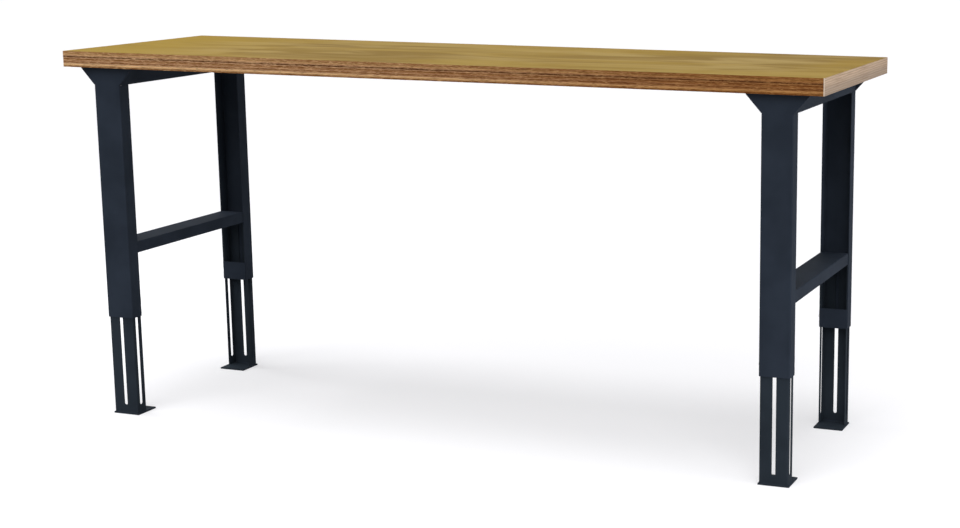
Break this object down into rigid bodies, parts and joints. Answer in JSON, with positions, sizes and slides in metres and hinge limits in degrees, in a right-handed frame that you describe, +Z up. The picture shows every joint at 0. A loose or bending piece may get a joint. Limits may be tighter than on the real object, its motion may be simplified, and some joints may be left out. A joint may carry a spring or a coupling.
{
  "type": "height-adjustable work table",
  "caption": "Long plywood worktop on welded sheet-steel end frames, with slotted lower legs that slide in the upper legs and are clamped by a bolt to set the height",
  "frame": {"origin": "the middle of the table's bounding box at floor level, with the feet standing on z = 0", "axes": "+X along the length of the table, to the right as seen from the front; +Y along its depth, from the front to the back; +Z up"},
  "size_m": [2, 0.6, 0.95],
  "materials": {
    "worktop": "clear-sealed plywood with a golden-tan face and a striped, reddish-brown edge",
    "frame_paint": "satin anthracite powder coat with a fine texture",
    "leg_paint": "satin anthracite powder coat with a fine texture",
    "zinc": "bright zinc plate"
  },
  "bodies": {
    "table_frame": {"worktop": "worktop", "top_rail_left": "frame_paint", "crossbar_left": "frame_paint", "top_rail_right": "frame_paint", "crossbar_right": "frame_paint", "upper_leg_front_left": "frame_paint", "guide_plate_front_left": "frame_paint", "upper_leg_rear_left": "frame_paint", "guide_plate_rear_left": "frame_paint", "upper_leg_front_right": "frame_paint", "guide_plate_front_right": "frame_paint", "upper_leg_rear_right": "frame_paint", "guide_plate_rear_right": "frame_paint", "clamp_bolt_front_left": "zinc", "clamp_washer_front_left": "zinc", "clamp_nut_front_left": "zinc", "clamp_bolt_rear_left": "zinc", "clamp_washer_rear_left": "zinc", "clamp_nut_rear_left": "zinc", "clamp_bolt_front_right": "zinc", "clamp_washer_front_right": "zinc", "clamp_nut_front_right": "zinc", "clamp_bolt_rear_right": "zinc", "clamp_washer_rear_right": "zinc", "clamp_nut_rear_right": "zinc", "worktop_screw_left_1": "zinc", "worktop_screw_left_2": "zinc", "worktop_screw_left_3": "zinc", "worktop_screw_left_4": "zinc", "worktop_screw_left_5": "zinc", "worktop_screw_left_6": "zinc", "worktop_screw_right_1": "zinc", "worktop_screw_right_2": "zinc", "worktop_screw_right_3": "zinc", "worktop_screw_right_4": "zinc", "worktop_screw_right_5": "zinc", "worktop_screw_right_6": "zinc"},
    "front_left_leg": {"lower_leg_front_left": "leg_paint", "foot_plate_front_left": "leg_paint"},
    "rear_left_leg": {"lower_leg_rear_left": "leg_paint", "foot_plate_rear_left": "leg_paint"},
    "front_right_leg": {"lower_leg_front_right": "leg_paint", "foot_plate_front_right": "leg_paint"},
    "rear_right_leg": {"lower_leg_rear_right": "leg_paint", "foot_plate_rear_right": "leg_paint"}
  },
  "joints": [
    {"name": "front_left_leg_slide", "type": "slide", "parent": "table_frame", "child": "front_left_leg", "axis": [0, 0, -1], "range_m": [-0.25, 0.1]},
    {"name": "rear_left_leg_slide", "type": "slide", "parent": "table_frame", "child": "rear_left_leg", "axis": [0, 0, -1], "range_m": [-0.25, 0.1]},
    {"name": "front_right_leg_slide", "type": "slide", "parent": "table_frame", "child": "front_right_leg", "axis": [0, 0, -1], "range_m": [-0.25, 0.1]},
    {"name": "rear_right_leg_slide", "type": "slide", "parent": "table_frame", "child": "rear_right_leg", "axis": [0, 0, -1], "range_m": [-0.25, 0.1]}
  ]
}
